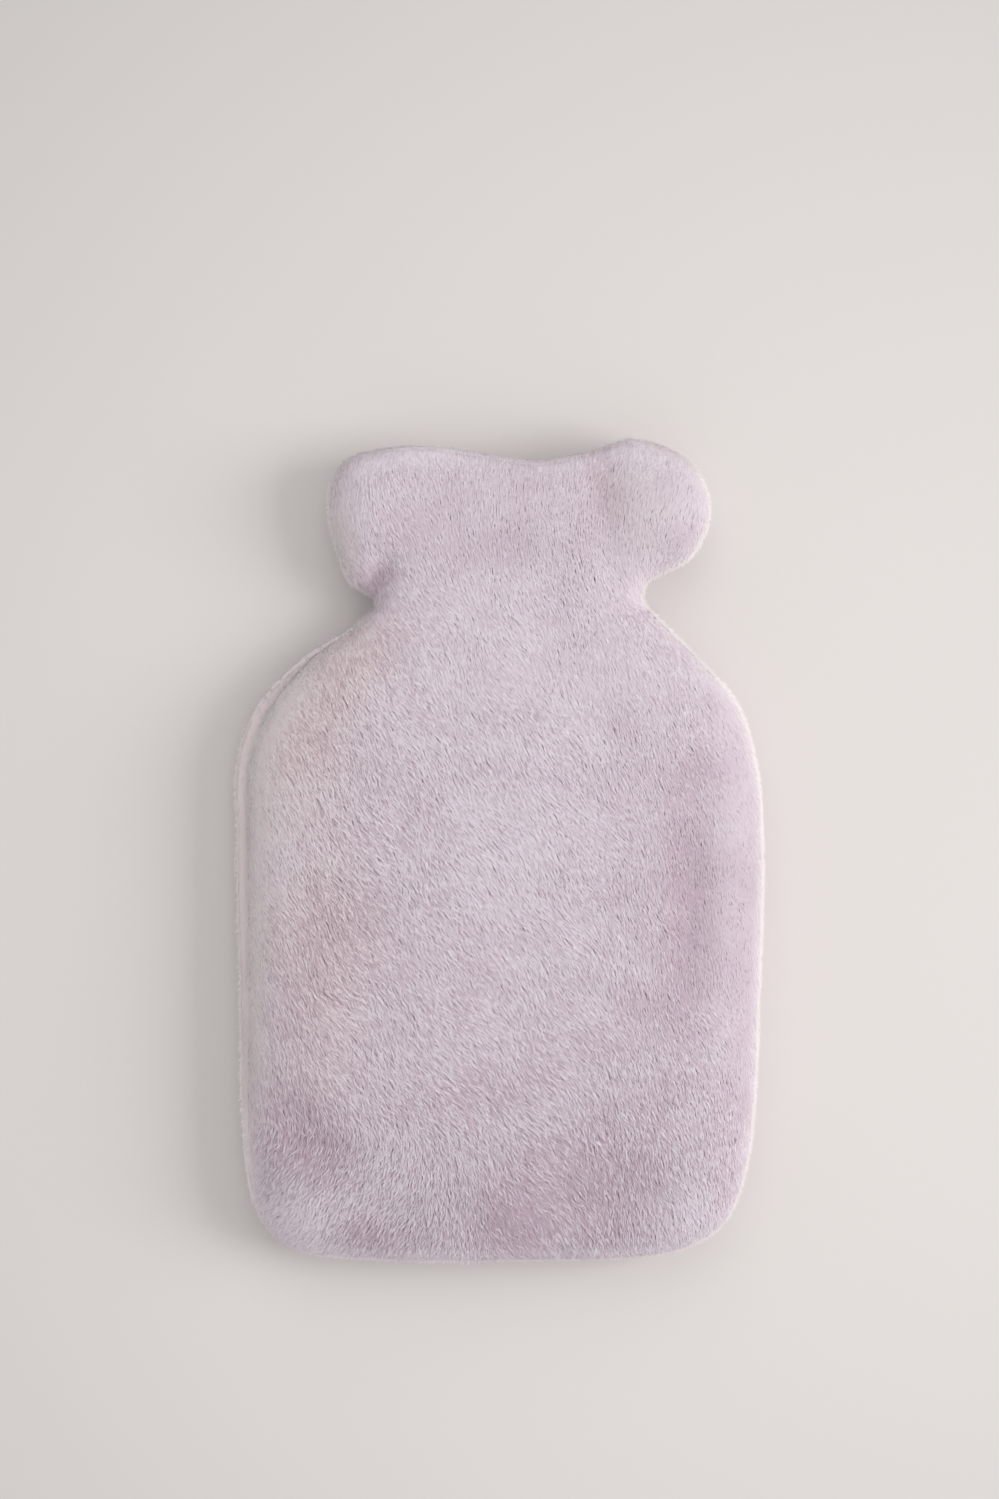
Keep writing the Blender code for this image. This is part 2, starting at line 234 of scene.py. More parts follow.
LOFT = 0.7  # how far the tufts face up where the cloth is level, as light gets between them
FLUFF_LOFT = 3.0  # and how far the strays on an upright rim do
LEAN = 0.12  # how far the tufts face along their heading
LOCK_LEAN = 0.03  # how much the locks differ in that, and in how far they face sideways
TUFT_LEAN = 0.07  # how far the tufts of a lock face sideways
TUFT_ROLL = 0.12  # radians that a tuft is turned about its own length

AVERAGE_TONE = 0.55  # where the tufts' colours lie on average between deep and pale
LOCK_TONE = 0.06  # how much the locks differ in tone, from the deep to the pale colour
TUFT_TONE = 0.15  # and the tufts of a lock
STREAK_TONE = 0.21  # and the streaks that tufts behind each other make
RIM_LIGHT_FROM = 0.25  # tufts get painted rim light from this steepness on
PAINTED_RIM_LIGHT = 0.45  # how pale that painted rim light makes them on an upright rim
STRAY_PALENESS = 0.4  # how pale the strays are on level cloth, their own colour
PAINTED_FLUFF_HALO = 0.95  # and on an upright rim, where that paleness is a painted halo of light

STATIONS = (0.0, 0.5, 1.0)  # a tuft's points lie at these shares of its length
POINT_STATIONS = (0, 0, 1, 1, 2)  # the station of each of its five points
MIDDLE_WIDTH = 1.15  # a tuft's width halfway up, as a share of that at its root
TUFT_FACES = (0, 1, 3, 2, 2, 3, 4)  # the corners of its quad, then of its triangle
FACE_STARTS = (0, 4)  # where the two start in that row
TUFT_CELL = ((0.15, 0.1), (0.85, 0.1), (0.15, 0.5), (0.85, 0.5), (0.5, 0.9))  # its points' UV
TIGHTEST_TURN = 0.12  # radians per millimetre that a tuft follows the surface at most
LEAST_SPREAD = 1e-6  # keeps the way along a sliver of a triangle finite
LEAST_TURN = 1e-9
FLOOR_CLEARANCE = 0.05  # no tuft comes nearer to the floor
UP = np.array([0.0, 0.0, 1.0])

EVEN_STEPS = (0.7548776662, 0.5698402910)  # steps that spread places evenly over a triangle
HASH_FACTORS = np.array([73856093, 19349663, 83492791], np.uint32)
HASH_SEED_FACTOR = 2654435761
HASH_SHIFTS = (16, 13, 16)
HASH_MIX = np.uint32(0x85EBCA6B)

EDGE_ZONE = 7.0  # the front's pile is denser within this distance of the edge
EDGE_DENSITY = 2.2  # so many times
UNDERSIDE_ZONE = 14.0  # the pile below the back is thinner further in than this
UNDERSIDE_DENSITY = 0.3  # by this share
STRIP_FROM = 0.5  # the back shows beside the front where the strip is wider than this
STRIP_MARGIN = 1.0  # its pile there goes on so far under the front
FRONT_TUFTS = 258000
BACK_TUFTS = 43000
STRIP_TUFTS = 8000
FRONT_SEED = 3
BACK_SEED = 5

# Patches of paler or deeper pile: a place, its length and width and the angle of its length.
# Some are where the nap has been stroked another way; many are painted shade in the front's
# creases, hollows, dips and trough, and painted light against the shade beside the strip.
# tone makes them paler, or deeper below 0, the next column greyer and calm smoother, or livelier below 0.
PATCH_COLUMNS = ("x", "y", "tone", "greying", "calm", "length", "width", "angle")
FRONT_PATCHES = (
    (36, -152, -0.75, 0, -0.3, 40, 27, 12),  # along the hem, deeper as painted shade in its dips
    (7, -163, -0.65, 0, 0, 13, 13, 0),
    (-84, -164, 0.65, 0, 0, 14, 12, 0),
    (84, -162, 0.3, 0, 0, 18, 14, 0),
    (-60, -166, -0.35, 0, 0, 12, 8, 0),
    (-45, -171, -0.7, 0, -0.3, 20, 8, 0),
    # painted shade in the hollow above the left corner
    (-84, -127, -0.75, 0, -0.3, 24, 15, -50),
    (60, -112, -0.16, 0, 0, 40, 12, 20),
    (-20, -104, -0.32, 0, 0, 40, 11, 10),
    (-35, -65, -0.12, 0, 0, 36, 22, 0),
    (0, -156, -0.6, 0, 0, 10, 11, 0),
    (0, -150, 0, 0, -1.15, 110, 60, 0),
    (-60, 0, 0, 0, -0.6, 100, 45, 90),
    (-97, 3, 0.38, 0, 0, 36, 9, 90),
    (83, -22, -0.57, 0, 0, 48, 11, 90),  # painted shade in the trough at the right
    (-78, -35, -0.3, 0.15, 0, 30, 22, 0),  # the left side
    (-85, -65, -0.2, 0.25, 0, 75, 28, 90),
    # painted shade in the hollow at the left shoulder
    (-82, 45, -0.25, 0.1, 0, 17, 13, 0),
    (-75, 0, 0, 0.2, 0, 100, 26, 90),
    (-100, 50, 0, 0.4, 0.2, 60, 24, 70),
    (-112, -60, 0, 0.5, 0.4, 90, 8, 90),
    (-110, -20, 0.65, 0, 0, 110, 7, 90),  # beside the strip, painted light against its shade
    # painted light beside the strip at the shoulder
    (-97.5, 68, 0.8, 0, 0, 30, 7, 57),
    (-66, 84, -0.38, 0.5, 0, 30, 14, 40),
    (14, 85, 0.06, 0, 0.35, 70, 40, 0),  # below the neck
    (2, 118, 0.18, 0, 0, 26, 13, 0),
    (0, 72, -0.13, 0, 0, 34, 15, 0),
    (2, 0, 0.1, 0, 0, 26, 20, 0),
    (20, 20, 0.1, 0, 0, 40, 30, 0),
    (48, 166, -0.38, 0.2, 0, 15, 8, 100),  # right lobe, painted shade in its crease
    (66, 152, 0.25, 0.28, 0.3, 26, 17, 95),
    (-36, 166, -0.1, 0, 0, 22, 11, 0),
    (-60, 157, 0.2, 0, 0, 20, 10, 80),  # left lobe
    (-72, 140, 0.3, 0.5, 0, 30, 8, 90),
    (-40, 178, 0.5, 0, 0, 28, 4, 3),
    (-55, 121, -0.6, 0, 0, 9, 6, 60),  # painted shade in the crease at the waist
    (-52, 116, 0.3, 0, 0, 8, 7, 60),
    (0, 152, -0.1, 0, 0.55, 90, 34, 0),  # the collar is smoother
    (40, -88, -0.2, 0, 0, 30, 14, 20),
    (70, -62, -0.12, 0, 0, 16, 13, 0),
    (75, 78, -0.12, 0, 0, 16, 16, 0),
    (106, -125, -0.2, 0, 0, 40, 12, 90),
    (112, -20, 0, 0, 1, 150, 17, 90),  # right edge
    (76, -10, -0.14, 0, 0.3, 110, 30, 90),
    (92, 150, 0.1, 0, 0.8, 30, 14, 90),
)
BACK_PATCHES = (
    (-112, 20, 0.5, 1, 0.7, 240, 26, 90),  # the strip, paler as painted light against the front's shade
    (-100, 76, -0.45, 0, 0, 28, 14, 50),
)
# faces is 1 for pile that grows upwards and -1 for pile that grows downwards.
FRONT_PILE = {"faces": 1.0, "depth": PILE_DEPTH, "reach": 5.5, "width": 0.54, "patches": FRONT_PATCHES}
STRIP_PILE = {"faces": 1.0, "depth": 0.6, "reach": 4.0, "width": 0.7, "patches": BACK_PATCHES}
BACK_PILE = {"faces": -1.0, "depth": 2.0, "reach": 4.5, "width": 0.6, "patches": BACK_PATCHES}

# ---- finishes ----

WHITE = (1.0, 1.0, 1.0, 1.0)
PLUSH = {
    "Pale Colour": (0.95, 0.882, 0.955, 1.0),
    "Deep Colour": (0.71, 0.572, 0.665, 1.0),
    # tint by which the patches make the pile greyer
    "Greying Tint": (1.0, 0.985, 0.88, 1.0),
    # paler colour of the pale strays, and of the painted rim light on upright rims
    "Pale Stray And Rim Light Colour": (0.99, 0.95, 0.94, 1.0),
    "Root Shade": 0.9,
    "Mottle": 0.65,
}
BACK_PLUSH = {**PLUSH, "Greying Tint": (1.03, 1.015, 0.93, 1.0), "Root Shade": 1.0}
PLUSH_FINISH = {"Specular IOR Level": 0.15, "Sheen Weight": 0.25, "Sheen Roughness": 0.6}
PLUSH_ROUGHNESS = 0.95
TIP_SMOOTHNESS = 0.12  # how much smoother a tuft is at its tip
ROOT_CURVE = 0.7  # exponent with which a tuft changes from its root to its tip
MOTTLE_NOISE = {"Scale": 48.0, "Detail": 3.0, "Roughness": 0.5}
NOISE_AVERAGE = 0.5
LIGHT_THROUGH = 0.2  # share of the light that passes through a tuft
PRESSED_LIGHT_THROUGH = 0.05  # and through one of the back's, which are pressed flat

# The knitted ground; Wales is the number of its ribs in a metre, and the darker gap colour is painted shade
# between its stitches.
FRONT_GROUND = {
    "Yarn Colour": (0.94, 0.86, 0.92, 1.0),
    "Painted Gap Shade": (0.76, 0.66, 0.72, 1.0),
    "Wales": 650.0,
}
BACK_GROUND = {
    "Yarn Colour": (0.93, 0.86, 0.88, 1.0),
    "Painted Gap Shade": (0.72, 0.63, 0.66, 1.0),
    "Wales": 650.0,
}
COURSES_PER_WALE = 1.3
STITCH_SLANT = 0.6  # how far a stitch runs on across its rib, as a share of a course
ROW_DEPTH = 0.35  # share of the stitch's height that comes and goes along the rib
FUZZ_NOISE = {"Scale": 900.0, "Detail": 2.0}
FUZZ_HEIGHT = 0.3  # height of the yarn's fuzz, as a share of a stitch's
KNIT_BUMP = {"Strength": 0.6, "Distance": 0.0004}
KNIT_FINISH = {"Roughness": 0.9, "Specular IOR Level": 0.15}

FLOOR_PALE = (0.80, 0.766, 0.751, 1.0)
FLOOR_DARK = (0.78, 0.746, 0.731, 1.0)
FLOOR_CLOUD = {"Scale": 3.0, "Detail": 2.0}
FLOOR_SHADE_MIDDLE = (0.06, -0.04, 0.0)  # painted shade deepens away from here, as the room's light falls off
FLOOR_SHADE_FALL = 0.72  # by this share for each square metre of the distance squared
FLOOR_SHADE_REACH = 0.6  # as far out as this
FLOOR_FINISH = {"Roughness": 0.85, "Specular IOR Level": 0.2}

# Each panel as it was cut, in metres and square metres.
FRONT_FLAT = (0.275, 0.39)
FRONT_AREA = 0.083
BACK_FLAT = (0.255, 0.385)
BACK_AREA = 0.080

# ---- light and camera, in metres and degrees ----

FLOOR_SIZE = 8.0
KEY_LIGHT = {
    "azimuth": 1.0,
    "elevation": 32.0,
    "distance": 2.6,
    "size": 1.5,
    "power": 39.5,
    "colour": (1.0, 0.985, 0.965),
}
FILL_LIGHT = {
    "azimuth": 97.0,
    "elevation": 42.0,
    "distance": 2.6,
    "size": 2.0,
    "power": 8.0,
    "colour": (1.0, 0.99, 0.98),
}
ROOM_COLOUR = (1.0, 0.99, 0.985, 1.0)
ROOM_STRENGTH = 0.625
CAMERA_HEIGHT = 1.6
VIEW_MIDDLE = (0.0007, 0.0452)  # the place that the camera stands above
VIEW_LENGTH = 0.6745  # what the picture's long side spans there, at the seam's height
SENSOR = 36.0  # in millimetres, as the lens


def columns_of(names, table):
    """A short table as one array for each column's name."""
    return {name: np.array(column, float) for name, column in zip(names, zip(*table))}


def unit(vectors):
    """The vectors at length 1."""
    return vectors / np.linalg.norm(vectors, axis=1)[:, None]


def dot(a, b):
    """The rows' dot products, as a column."""
    return (a * b).sum(axis=1)[:, None]


def smooth_step(amount):
    """0 below 0, 1 above 1, and between them a rise that is level at both ends."""
    share = np.clip(amount, 0.0, 1.0)
    return share * share * (3 - 2 * share)


# ---- curves ----


def smooth_closed_curve(points):
    """Centripetal Catmull-Rom curve through a closed row of points.

    Each span blends its two end points and their neighbours, with knots spaced by
    the square root of the distance, so that tight bends don't overshoot.
    """
    count = len(points)
    curve = []
    for index in range(count):
        p = [points[(index + step) % count] for step in (-1, 0, 1, 2)]
        knots = np.cumsum([0.0] + [np.sqrt(np.linalg.norm(b - a)) for a, b in zip(p, p[1:])])
        t = np.linspace(knots[1], knots[2], POINTS_PER_SPAN, endpoint=False)[:, None]

        def between(a, b, low, high):
            return (a * (knots[high] - t) + b * (t - knots[low])) / (knots[high] - knots[low])

        first, second, third = (between(p[k], p[k + 1], k, k + 1) for k in range(3))
        lower = between(first, second, 0, 2)
        upper = between(second, third, 1, 3)
        curve.append(between(lower, upper, 1, 2))
    return np.concatenate(curve)


def spread_along(stretch, count):
    """count points along a stretch of curve, its last point left out.

    They are even in length plus BEND_LENGTH times the angle turned so far.
    """
    steps = np.diff(stretch, axis=0)
    heading = np.unwrap(np.arctan2(steps[:, 1], steps[:, 0]))
    bend = np.abs(np.diff(heading, prepend=heading[0]))
    effort = np.linalg.norm(steps, axis=1) + BEND_LENGTH * bend
    reached = np.concatenate([[0.0], np.cumsum(effort)])
    wanted = np.linspace(0.0, reached[-1], count, endpoint=False)
    return np.stack([np.interp(wanted, reached, stretch[:, k]) for k in range(2)], axis=1)


def panel_outline(shows_strip):
    """The panel's edge, counter-clockwise from the left hem corner.

    The hem, the right side, the mouth and the left side follow each other.  The
    front panel is narrower than the back one by the strip on the left.
    """
    sides = columns_of(SIDE_COLUMNS, SIDES)
    left_edge = sides["left"] if shows_strip else sides["left"] + sides["strip"]
    left_side = np.stack([left_edge, sides["height"]], axis=1)
    right_side = np.stack([sides["right"], sides["height"]], axis=1)
    hem = np.array(HEM)
    mouth = np.array(MOUTH)
    points = np.concatenate([left_side[:1], hem, right_side, mouth[::-1], left_side[:0:-1]])
    curve = smooth_closed_curve(points)
    corners = np.cumsum([0, len(hem) + 1, len(SIDES) - 1, len(mouth) + 1, len(SIDES) - 1])
    cells = (CELLS_ACROSS, CELLS_ALONG, CELLS_ACROSS, CELLS_ALONG)
    curve = np.concatenate([curve, curve[:1]])
    stretches = []
    for start, end, count in zip(corners * POINTS_PER_SPAN, corners[1:] * POINTS_PER_SPAN, cells):
        stretches.append(spread_along(curve[start : end + 1], count))
    return np.concatenate(stretches)


def inward(outline):
    """Unit vectors from the outline's points into the panel."""
    along = np.roll(outline, -1, axis=0) - np.roll(outline, 1, axis=0)
    return unit(np.stack([-along[:, 1], along[:, 0]], axis=1))


def mouth_opening():
    """0 along the sewn edge, and a sine to a power across the mouth, 1 at its middle."""
    opening = np.zeros(2 * (CELLS_ACROSS + CELLS_ALONG))
    first = CELLS_ACROSS + CELLS_ALONG
    share = np.arange(CELLS_ACROSS + 1) / CELLS_ACROSS
    opening[first : first + CELLS_ACROSS + 1] = np.sin(np.pi * share) ** MOUTH_FULLNESS
    return opening


def strip_beside(x, y):
    """How far the back shows beyond the front there: the table's strip, on the left only."""
    sides = columns_of(SIDE_COLUMNS, SIDES)
    return np.where(x < 0.0, np.interp(y, sides["height"], sides["strip"]), 0.0)


# ---- heights ----

# The height of each side of a panel comes from the place in the plan, its distance
# from the edge, how open the mouth is there (0 to 1) and how far the back shows there.


def eased_along(y, stops):
    """Reads a table of (y, amount) stops, with a smooth step from each to the next."""
    places, amounts = np.array(stops).T
    stop = np.clip(np.searchsorted(places, y, side="right") - 1, 0, len(places) - 2)
    share = np.clip((y - places[stop]) / (places[stop + 1] - places[stop]), 0.0, 1.0)
    return amounts[stop] + (amounts[stop + 1] - amounts[stop]) * share * share * (3 - 2 * share)


def rounded(distance, reach):
    """The side of a superellipse: 0 at an edge, steep there, and 1 from reach on."""
    share = np.clip(distance / reach, 0.0, 1.0)
    return (1 - (1 - share) ** ROUNDNESS) ** (1 / ROUNDNESS)


def bells(x, y, names, table, amount):
    """The sum of oval bells, amount * exp(-(along / length)^2 - (across / width)^2)."""
    total = np.zeros_like(x)
    for row in table:
        bell = dict(zip(names, row))
        angle = np.radians(bell["angle"])
        dx, dy = x - bell["x"], y - bell["y"]
        along = (dx * np.cos(angle) + dy * np.sin(angle)) / bell["length"]
        across = (dy * np.cos(angle) - dx * np.sin(angle)) / bell["width"]
        total += bell[amount] * np.exp(-(along**2) - across**2)
    return total


def seam_height(x, y):
    """The height at which the two panels meet: a level with a slow wave in it."""
    along = np.sin(2 * np.pi * y / SEAM_WAVE_ALONG)
    return SEAM_HEIGHT + SEAM_WAVE * along * np.cos(2 * np.pi * x / SEAM_WAVE_ACROSS)


def crown(x, y):
    """The front's height away from its edges."""
    return eased_along(y, CROWN) + bells(x, y, RELIEF_COLUMNS, RELIEF, "rise")


def front_outer(x, y, distance, opening, strip):
    """The front panel's fur side: its rim, and a rounded rise from there to the crown."""
    rim = seam_height(x, y) + SEAM_GAP / 2 + (MOUTH_FRONT_LIFT + LIP_ROLL) * opening
    return rim + (crown(x, y) - rim) * rounded(distance, eased_along(y, ROUNDING))


def front_inner(x, y, distance, opening, strip):
    """The front panel's pocket side: level over the seam, then a rise under the crown."""
    seam = seam_height(x, y) + SEAM_GAP / 2 + MOUTH_FRONT_LIFT * opening
    roll = LIP_ROLL * opening * (1 - rounded(distance, LIP_WIDTH))
    ceiling = np.maximum(crown(x, y) - FRONT_THICKNESS, seam)
    rise = rounded(distance - SEAM_WIDTH, eased_along(y, ROUNDING))
    return seam + roll + (ceiling - seam) * rise


def back_outer(x, y, distance, opening, strip):
    """The back panel's fur side: a rounded fall from its rim to the floor."""
    rim = seam_height(x, y) - SEAM_GAP / 2 - MOUTH_BACK_DROP * opening
    rim -= np.maximum(LIP_ROLL * opening, strip)
    return rim * (1 - rounded(distance, BACK_ROUND))


# ---- a panel's two sides ----


def four_sides(ring):
    """The ring's hem, right side, mouth and left side, each from hem to mouth or left to right."""
    across, along = CELLS_ACROSS, CELLS_ALONG
    closed = np.concatenate([ring, ring[:1]])
    hem = closed[: across + 1]
    right = closed[across : across + along + 1]
    mouth = closed[across + along : 2 * across + along + 1][::-1]
    left = closed[2 * across + along :][::-1]
    return hem, right, mouth, left


def grid_inside(ring):
    """A grid bounded by the ring.

    Its rows run straight from the left side to the right side, and the rows near
    the hem and the mouth also take part in how far these bow away from straight.
    """
    hem, right, mouth, left = four_sides(ring)
    u = np.linspace(0.0, 1.0, CELLS_ACROSS + 1)[None, :, None]
    v = np.linspace(0.0, 1.0, CELLS_ALONG + 1)[:, None, None]
    hem_bow = hem - hem[0] * (1 - u) - hem[-1] * u
    mouth_bow = mouth - mouth[0] * (1 - u) - mouth[-1] * u
    rows = left[:, None] * (1 - u) + right[:, None] * u
    return rows + hem_bow * (1 - v) ** END_FADE + mouth_bow * v**END_FADE


def distance_to(outline, points):
    """How far each point is from the nearest stretch of the outline."""
    start = outline[None]
    span = np.roll(outline, -1, axis=0)[None] - start
    offset = points[:, None] - start
    share = np.clip((offset * span).sum(-1) / (span**2).sum(-1), 0.0, 1.0)
    return np.linalg.norm(offset - share[..., None] * span, axis=-1).min(axis=1)


def carried_inwards(outline, amounts, points):
    """Amounts known along the outline, carried to other points by their nearness to it."""
    gap = np.linalg.norm(points[:, None] - outline[None], axis=-1)
    weight = 1.0 / (gap**2 + NEARNESS) ** 2
    return weight @ amounts / weight.sum(axis=1)


def side_of_panel(outline, distances, height):
    """One side of a panel, as points and quads that face up.

    A band of rings follows the outline at the given distances, and a grid fills
    the band.  The height of every point comes from the side's own formula, in which
    the strip counts along the band only.
    """
    normals = inward(outline)
    rings = [outline + normals * distance for distance in distances]
    inner = grid_inside(rings[-1])[1:-1, 1:-1].reshape(-1, 2)
    strip = strip_beside(*outline.T)
    opening = mouth_opening()

    heights = [height(*ring.T, distance, opening, strip) for ring, distance in zip(rings, distances)]
    within = distance_to(outline, inner)
    heights.append(height(*inner.T, within, carried_inwards(outline, opening, inner), 0.0))
    plan = np.concatenate(rings + [inner])
    return np.column_stack([plan, np.concatenate(heights)]), panel_quads(len(distances), len(outline))


def panel_quads(ring_count, count):
    """The quads of a band of rings and of the grid inside it."""
    start = (np.arange(ring_count - 1) * count)[:, None]
    here = np.arange(count)[None]
    after = (here + 1) % count
    band = np.stack([start + here, start + after, start + count + after, start + count + here], -1)

    number = np.zeros((CELLS_ALONG + 1, CELLS_ACROSS + 1), int)
    ring = (ring_count - 1) * count + np.arange(count)
    number[0], number[:, -1], number[-1], number[:, 0] = four_sides(ring)
    inner = ring_count * count + np.arange((CELLS_ALONG - 1) * (CELLS_ACROSS - 1))
    number[1:-1, 1:-1] = inner.reshape(CELLS_ALONG - 1, CELLS_ACROSS - 1)
    grid = np.stack([number[:-1, :-1], number[:-1, 1:], number[1:, 1:], number[1:, :-1]], -1)
    return np.concatenate([band.reshape(-1, 4), grid.reshape(-1, 4)])


def point_normals(points, quads):
    """Unit normals of the points: the sum of the faces' normals round each, by area."""
    corner = points[quads]
    face = np.cross(corner[:, 2] - corner[:, 0], corner[:, 3] - corner[:, 1])
    total = np.zeros_like(points)
    for k in range(4):
        np.add.at(total, quads[:, k], face)
    return unit(total)


# ---- the pile's roots ----


def hashed(cells, seed):
    """A repeatable number from 0 to 1 for each row of whole numbers.

    The rows are multiplied by large odd numbers and folded together, and shifts
    and a second multiplication then mix their bits.
    """
    spread = cells.astype(np.int64).astype(np.uint32) * HASH_FACTORS
    bits = spread[:, 0] ^ spread[:, 1] ^ spread[:, 2] ^ np.uint32(seed * HASH_SEED_FACTOR % 2**32)
    for shift in HASH_SHIFTS:
        bits = (bits ^ (bits >> np.uint32(shift))) * HASH_MIX
    return bits / 2.0**32


def drifting(points, wavelength, seed):
    """A smooth field from about -1 to 1: plane waves in hashed directions, added up."""
    rng = np.random.default_rng(seed)
    heading = unit(rng.normal(size=(DRIFT_WAVES, 3)))
    length = wavelength * rng.uniform(*DRIFT_SPREAD, DRIFT_WAVES)
    phase = rng.uniform(0.0, 2 * np.pi, DRIFT_WAVES)
    waves = np.sin(points @ (heading * (2 * np.pi / length)[:, None]).T + phase)
    return waves.sum(axis=1) / DRIFT_SIZE


def nearest_lock(points, size, seed):
    """The middle of the lock that each point belongs to, and the lock's number.

    Space is cut into cubes of the given size, each with one middle at a hashed
    place in it, and a point belongs to the nearest middle of the cubes round it.
    """
    home = np.floor(points / size).astype(np.int64)
    nearest = np.full(len(points), np.inf)
    middle = np.zeros_like(points)
    chosen = np.zeros_like(home)
    for step in itertools.product((-1, 0, 1), repeat=3):
        cell = home + np.array(step)
        place = np.stack([hashed(cell, seed + axis) for axis in range(3)], axis=1)
        centre = (cell + place) * size
        gap = ((points - centre) ** 2).sum(axis=1)
        closer = gap < nearest
        nearest[closer] = gap[closer]
        middle[closer] = centre[closer]
        chosen[closer] = cell[closer]
    return middle, chosen


def combed(x, y):
    """The way the nap lies at each place of the plan, as unit vectors.

    The table's directions are averaged, each by a bell round its place.
    """
    comb = columns_of(COMB_COLUMNS, COMB)
    gap = np.hypot(x[:, None] - comb["x"], y[:, None] - comb["y"])
    weight = np.exp(-((gap / comb["reach"]) ** 2)) + LEAST_HOLD
    angle = np.radians(comb["angle"])
    return unit(np.stack([weight @ np.cos(angle), weight @ np.sin(angle), np.zeros(len(x))], 1))


def roots_on(surface, outline, count, weight, rng):
    """Places spread over a surface, each with what the surface is like there.

    Each triangle gets its share by area and weight, and one that is folded over gets
    none.  A place in it is a blend of its corners, and two steps that never come
    round again spread the blends evenly.
    """
    points, quads = surface
    normals = point_normals(points, quads)
    gap = distance_to(outline, points[:, :2])
    triangles = np.stack([quads[:, [0, 1, 2]], quads[:, [0, 2, 3]]], axis=1).reshape(-1, 3)
    corner, bent = points[triangles], normals[triangles]
    face = np.cross(corner[:, 1] - corner[:, 0], corner[:, 2] - corner[:, 0])
    area = np.linalg.norm(face, axis=1) * (face[:, 2] * face[:, 2].sum() > 0)
    reached = np.cumsum(area * weight(corner.mean(axis=1), gap[triangles].mean(axis=1)))
    wanted = (np.arange(count) + rng.random(count)) / count * reached[-1]
    chosen = np.searchsorted(reached, wanted)
    a, b = np.arange(count) * np.array(EVEN_STEPS)[:, None] % 1.0
    beyond = a + b > 1
    a[beyond], b[beyond] = 1 - a[beyond], 1 - b[beyond]
    share = np.stack([1 - a - b, a, b], axis=1)[..., None]

    def at(amounts):
        return (amounts[triangles[chosen]] * share).sum(axis=1)

    return {
        "place": at(points),
        "normal": unit(at(normals)),
        "corner": corner[chosen],
        "bent": bent[chosen],
    }


def turn_along(corner, bent, heading):
    """How the surface's normal changes for each millimetre along the heading.

    The heading is split along two sides of the triangle, and the changes of the
    normal along these sides are added up in the same shares.
    """
    side_1, side_2 = corner[:, 1] - corner[:, 0], corner[:, 2] - corner[:, 0]
    turn_1, turn_2 = bent[:, 1] - bent[:, 0], bent[:, 2] - bent[:, 0]
    s11, s12, s22 = dot(side_1, side_1), dot(side_1, side_2), dot(side_2, side_2)
    h1, h2 = dot(heading, side_1), dot(heading, side_2)
    scale = np.maximum(s11 * s22 - s12**2, LEAST_SPREAD)
    turn = ((h1 * s22 - h2 * s12) * turn_1 + (h2 * s11 - h1 * s12) * turn_2) / scale
    size = np.linalg.norm(turn, axis=1)[:, None]
    return turn * np.minimum(1.0, TIGHTEST_TURN / np.maximum(size, LEAST_TURN))


# ---- the pile's tufts ----


def streaks(place, heading):
    """Fine streaks that run with the nap, as numbers of average 0 and deviation 1.

    Space is cut into small cubes with a hashed number each, of average 1/2 and
    variance 1/12, and the numbers met along a short run of the heading are added up.
    """
    run = np.arange(-STREAK_LENGTH / 2, STREAK_LENGTH / 2, STREAK_WIDTH)
    total = sum(hashed(np.floor((place + heading * step) / STREAK_WIDTH), STREAK_SEED) for step in run)
    return (total - len(run) / 2) / np.sqrt(len(run) / 12)


def streak_at(place, heading, beside):
    """How far the streak at a place stands out from the average of what is on its two sides."""
    around = streaks(place + beside, heading) + streaks(place - beside, heading)
    return (streaks(place, heading) - around / 2)[:, None]


def headings_of(place, normal, faces, wander):
    """The way each tuft lies on the surface: the combed way, turned in the plan by wander.

    It is then turned as the flat panel is turned into the slope there, so the nap
    runs on over the edges without a parting.
    """
    comb = combed(place[:, 0], place[:, 1])
    cos, sin = np.cos(wander), np.sin(wander)
    x, y = comb[:, 0] * cos - comb[:, 1] * sin, comb[:, 0] * sin + comb[:, 1] * cos
    comb = np.stack([x, y, comb[:, 2]], axis=1)
    flat = faces * UP[None]
    return unit(comb - dot(comb, normal) / (1 + dot(flat, normal)) * (flat + normal))


